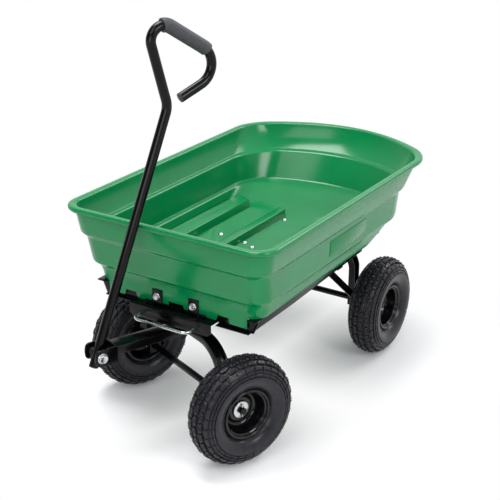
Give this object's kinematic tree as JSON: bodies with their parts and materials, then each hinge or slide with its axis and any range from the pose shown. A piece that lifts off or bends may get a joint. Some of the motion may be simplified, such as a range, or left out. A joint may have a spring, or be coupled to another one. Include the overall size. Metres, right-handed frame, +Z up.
{
  "type": "tipping dump cart",
  "caption": "Four-wheeled garden dump cart: moulded tub tipping on a rear hinge, steered front axle with a folding pull handle, and a sliding wire latch.",
  "frame": {"origin": "on the ground, under the middle of the overall length and width", "axes": "+X forward to the handle end, +Y to the left of the cart, +Z up"},
  "size_m": [1.0554, 0.5618, 0.9666],
  "materials": {
    "tub_green": "moulded polypropylene, satin gloss",
    "black_paint": "gloss black powder coat",
    "zinc": "bright zinc plate",
    "tyre_rubber": "moulded black rubber",
    "grip_rubber": "matte dark grey sleeve",
    "black_plastic": "matte black"
  },
  "bodies": {
    "frame": {"left_rail": "black_paint", "right_rail": "black_paint", "front_angle": "black_paint", "latch_beam": "black_paint", "latch_guides": "black_paint", "bolster_bar": "black_paint", "bolster_plate": "black_paint", "kingpin_housing": "black_paint", "kingpin": "zinc", "kingpin_nut": "zinc", "mid_bar": "black_paint", "rear_bar": "black_paint", "hinge_lugs": "black_paint", "rear_arch": "black_paint", "left_brace": "black_paint", "right_brace": "black_paint", "rear_axle": "black_paint", "rear_axle_spacers": "black_paint", "rear_axle_washers": "zinc", "rear_split_pins": "zinc", "arch_bolts": "zinc"},
    "tub": {"tub": "tub_green", "striker_plate": "black_paint", "striker_lugs": "black_paint", "striker_bolts": "zinc", "hinge_bracket": "black_paint", "hinge_rod": "zinc", "hinge_clips": "zinc", "floor_strap": "black_paint", "floor_bolts": "zinc"},
    "steer": {"front_arch": "black_paint", "thrust_washer": "zinc", "front_axle": "black_paint", "front_axle_washers": "zinc", "front_split_pins": "zinc", "tongue": "black_paint", "clevis": "black_paint", "clevis_bolt": "zinc", "clevis_nut": "zinc"},
    "handle": {"handle_tube": "black_paint", "grip": "grip_rubber", "pivot_spacers": "black_plastic", "tube_caps": "black_plastic"},
    "latch": {"release_bail": "zinc"},
    "front_left_wheel": {"tyre_fl": "tyre_rubber", "rim_fl": "black_paint", "hub_fl": "black_paint", "bearings_fl": "zinc"},
    "front_right_wheel": {"tyre_fr": "tyre_rubber", "rim_fr": "black_paint", "hub_fr": "black_paint", "bearings_fr": "zinc"},
    "rear_left_wheel": {"tyre_rl": "tyre_rubber", "rim_rl": "black_paint", "hub_rl": "black_paint", "bearings_rl": "zinc"},
    "rear_right_wheel": {"tyre_rr": "tyre_rubber", "rim_rr": "black_paint", "hub_rr": "black_paint", "bearings_rr": "zinc"}
  },
  "joints": [
    {"name": "tub_tip", "type": "hinge", "parent": "frame", "child": "tub", "pos_m": [-0.23772, 0, 0.302], "axis": [0, -1, 0], "range_deg": [0, 45]},
    {"name": "steering", "type": "hinge", "parent": "frame", "child": "steer", "pos_m": [0.28528, 0, 0.25], "axis": [0, 0, 1], "range_deg": [-3.1, 48.9]},
    {"name": "handle_pivot", "type": "hinge", "parent": "steer", "child": "handle", "pos_m": [0.50175, -0.09144, 0.241], "axis": [0.3891, 0.9212, 0], "range_deg": [0, 115]},
    {"name": "latch_slide", "type": "slide", "parent": "frame", "child": "latch", "axis": [1, 0, 0], "range_m": [-0.018, 0]},
    {"name": "front_left_spin", "type": "hinge", "parent": "steer", "child": "front_left_wheel", "pos_m": [0.37069, 0.2022, 0.13], "axis": [0.3891, 0.9212, 0], "continuous": true},
    {"name": "front_right_spin", "type": "hinge", "parent": "steer", "child": "front_right_wheel", "pos_m": [0.19986, -0.2022, 0.13], "axis": [0.3891, 0.9212, 0], "continuous": true},
    {"name": "rear_left_spin", "type": "hinge", "parent": "frame", "child": "rear_left_wheel", "pos_m": [-0.28773, 0.2195, 0.13], "axis": [0, 1, 0], "continuous": true},
    {"name": "rear_right_spin", "type": "hinge", "parent": "frame", "child": "rear_right_wheel", "pos_m": [-0.28773, -0.2195, 0.13], "axis": [0, 1, 0], "continuous": true}
  ]
}
